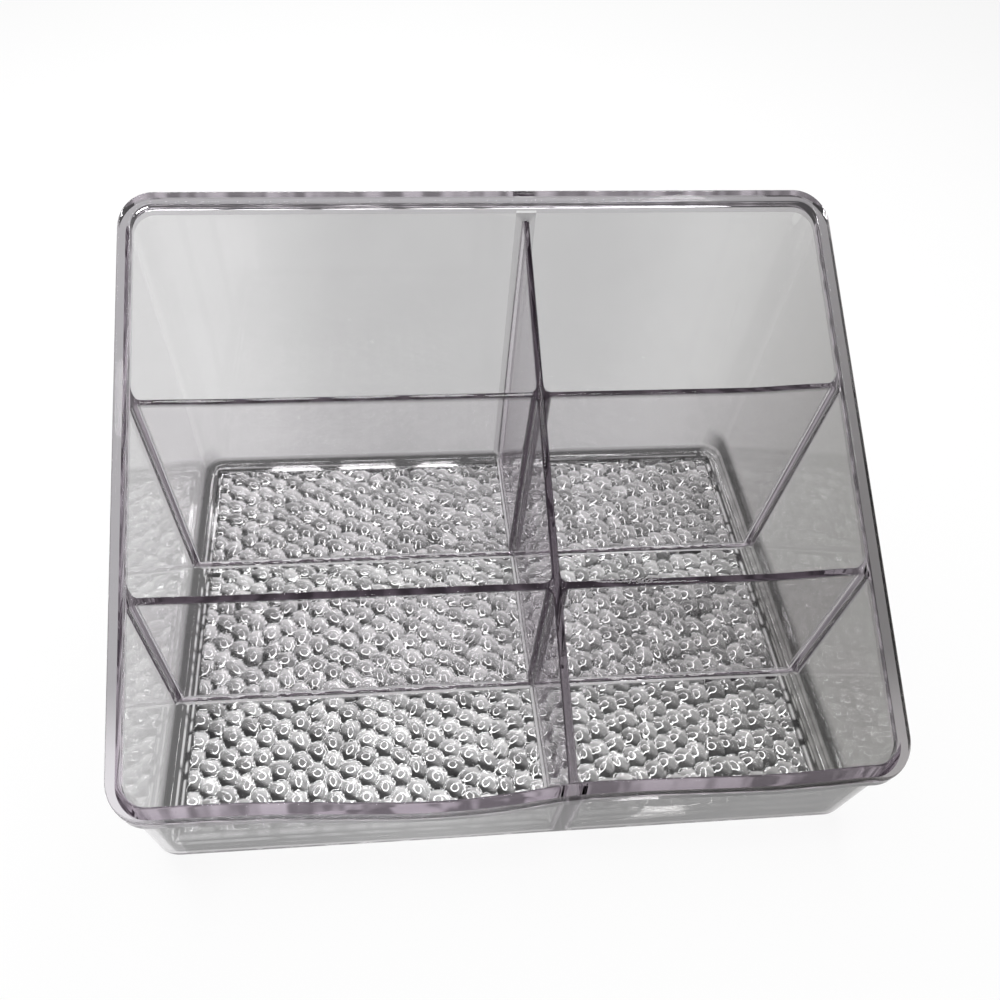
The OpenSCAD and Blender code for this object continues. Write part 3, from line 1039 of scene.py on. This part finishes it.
def ring_of_lamps(look):
    """Small round lamps in a ring overhead, which the pebbles mirror as little rings."""
    middle = Vector((-0.05, look.lamp_back, look.lamp_height))
    ahead = middle.normalized()
    aside = Vector((1, 0, 0))
    aside = (aside - ahead * aside.dot(ahead)).normalized()
    for i in range(LAMP_COUNT):
        turn = 2 * math.pi * i / LAMP_COUNT
        data = bpy.data.lights.new(f"ring_lamp_{i:02d}", "AREA")
        data.shape = "DISK"
        data.size = LAMP_SIZE
        data.energy = look.lamp_power
        lamp = scene_object(data.name, data)
        way = aside * math.cos(turn) + ahead.cross(aside) * math.sin(turn)
        lamp.location = middle + way * look.lamp_reach
        lamp.rotation_euler = (Vector((0, 0, 0.02)) - lamp.location).to_track_quat(
            "-Z", "Y").to_euler()
        lamp.visible_camera = False


def studio_world():
    """A plain grey room, a little lighter overhead."""
    world = bpy.data.worlds.new("studio")
    bpy.context.scene.world = world
    tree = fresh_tree(world)
    place = node(tree, "TexCoord", "Way")
    split = node(tree, "SeparateXYZ", "Height in the room",
                 {"Vector": place.outputs["Generated"]})
    ramp = spread(tree, "Darker low, lighter overhead", split.outputs["Z"], (0, 1), ROOM_LIGHT)
    glow = node(tree, "Background", "Room light", {"Strength": ramp})
    node(tree, "OutputWorld", "Room", {"Surface": glow.outputs["Background"]})


def photo_camera():
    """The camera, at the angle of the photograph."""
    data = bpy.data.cameras.new("camera")
    data.sensor_width = 36
    data.lens = CAMERA_LENS
    data.shift_x, data.shift_y = CAMERA_SHIFT
    data.clip_start = 0.01
    camera = scene_object("camera", data)
    yaw, pitch, roll = (math.radians(v) for v in CAMERA_TURNS)
    ahead = Vector((math.sin(yaw) * math.cos(pitch), math.cos(yaw) * math.cos(pitch),
                    -math.sin(pitch)))
    level = Vector((math.cos(yaw), -math.sin(yaw), 0))
    up = level.cross(ahead)
    right = level * math.cos(roll) + up * math.sin(roll)
    top = up * math.cos(roll) - level * math.sin(roll)
    turn = Matrix((right, top, -ahead)).transposed().to_4x4()
    camera.matrix_world = Matrix.Translation(CAMERA_PLACE) @ turn
    bpy.context.scene.camera = camera


class ORGANIZER_OT_stage(bpy.types.Operator):
    """Add the pale floor, the lamps, the room and the camera"""
    bl_idname = "organizer.add_stage"
    bl_label = "Stage"

    def execute(self, context):
        look = context.scene.organizer_stage
        stage_floor(look)
        ring_of_lamps(look)
        studio_world()
        photo_camera()
        context.scene.view_settings.view_transform = "Standard"
        return {"FINISHED"}


class ORGANIZER_PT_panel(bpy.types.Panel):
    """Lists the sizes and the pieces of the organizer"""
    bl_label = "Vanity organizer"
    bl_idname = "ORGANIZER_PT_panel"
    bl_space_type = "VIEW_3D"
    bl_region_type = "UI"
    bl_category = "Organizer"

    def draw(self, context):
        layout = self.layout
        for group in GROUPS:
            values = getattr(context.scene, group)
            box = layout.box()
            for key in values.__annotations__:
                box.prop(values, key)
        for operator in OPERATORS:
            layout.operator(operator.bl_idname)


GROUPS = {"organizer_sizes": OrganizerSizes, "organizer_pebbles": PebbleSizes,
          "organizer_look": PlasticLook, "organizer_stage": StageLook}
OPERATORS = (ORGANIZER_OT_stage, ORGANIZER_OT_floor, ORGANIZER_OT_walls, ORGANIZER_OT_rim,
             ORGANIZER_OT_dividers)


def register():
    for name, group in GROUPS.items():
        bpy.utils.register_class(group)
        setattr(bpy.types.Scene, name, bpy.props.PointerProperty(type=group))
    for kind in OPERATORS + (ORGANIZER_PT_panel,):
        bpy.utils.register_class(kind)


def unregister():
    for kind in reversed(OPERATORS + (ORGANIZER_PT_panel,)):
        bpy.utils.unregister_class(kind)
    for name, group in GROUPS.items():
        delattr(bpy.types.Scene, name)
        bpy.utils.unregister_class(group)


def main():
    register()
    bpy.ops.organizer.add_stage()
    bpy.ops.organizer.add_floor()
    bpy.ops.organizer.add_walls()
    bpy.ops.organizer.add_rim()
    bpy.ops.organizer.add_dividers()


if __name__ == "__main__":
    main()
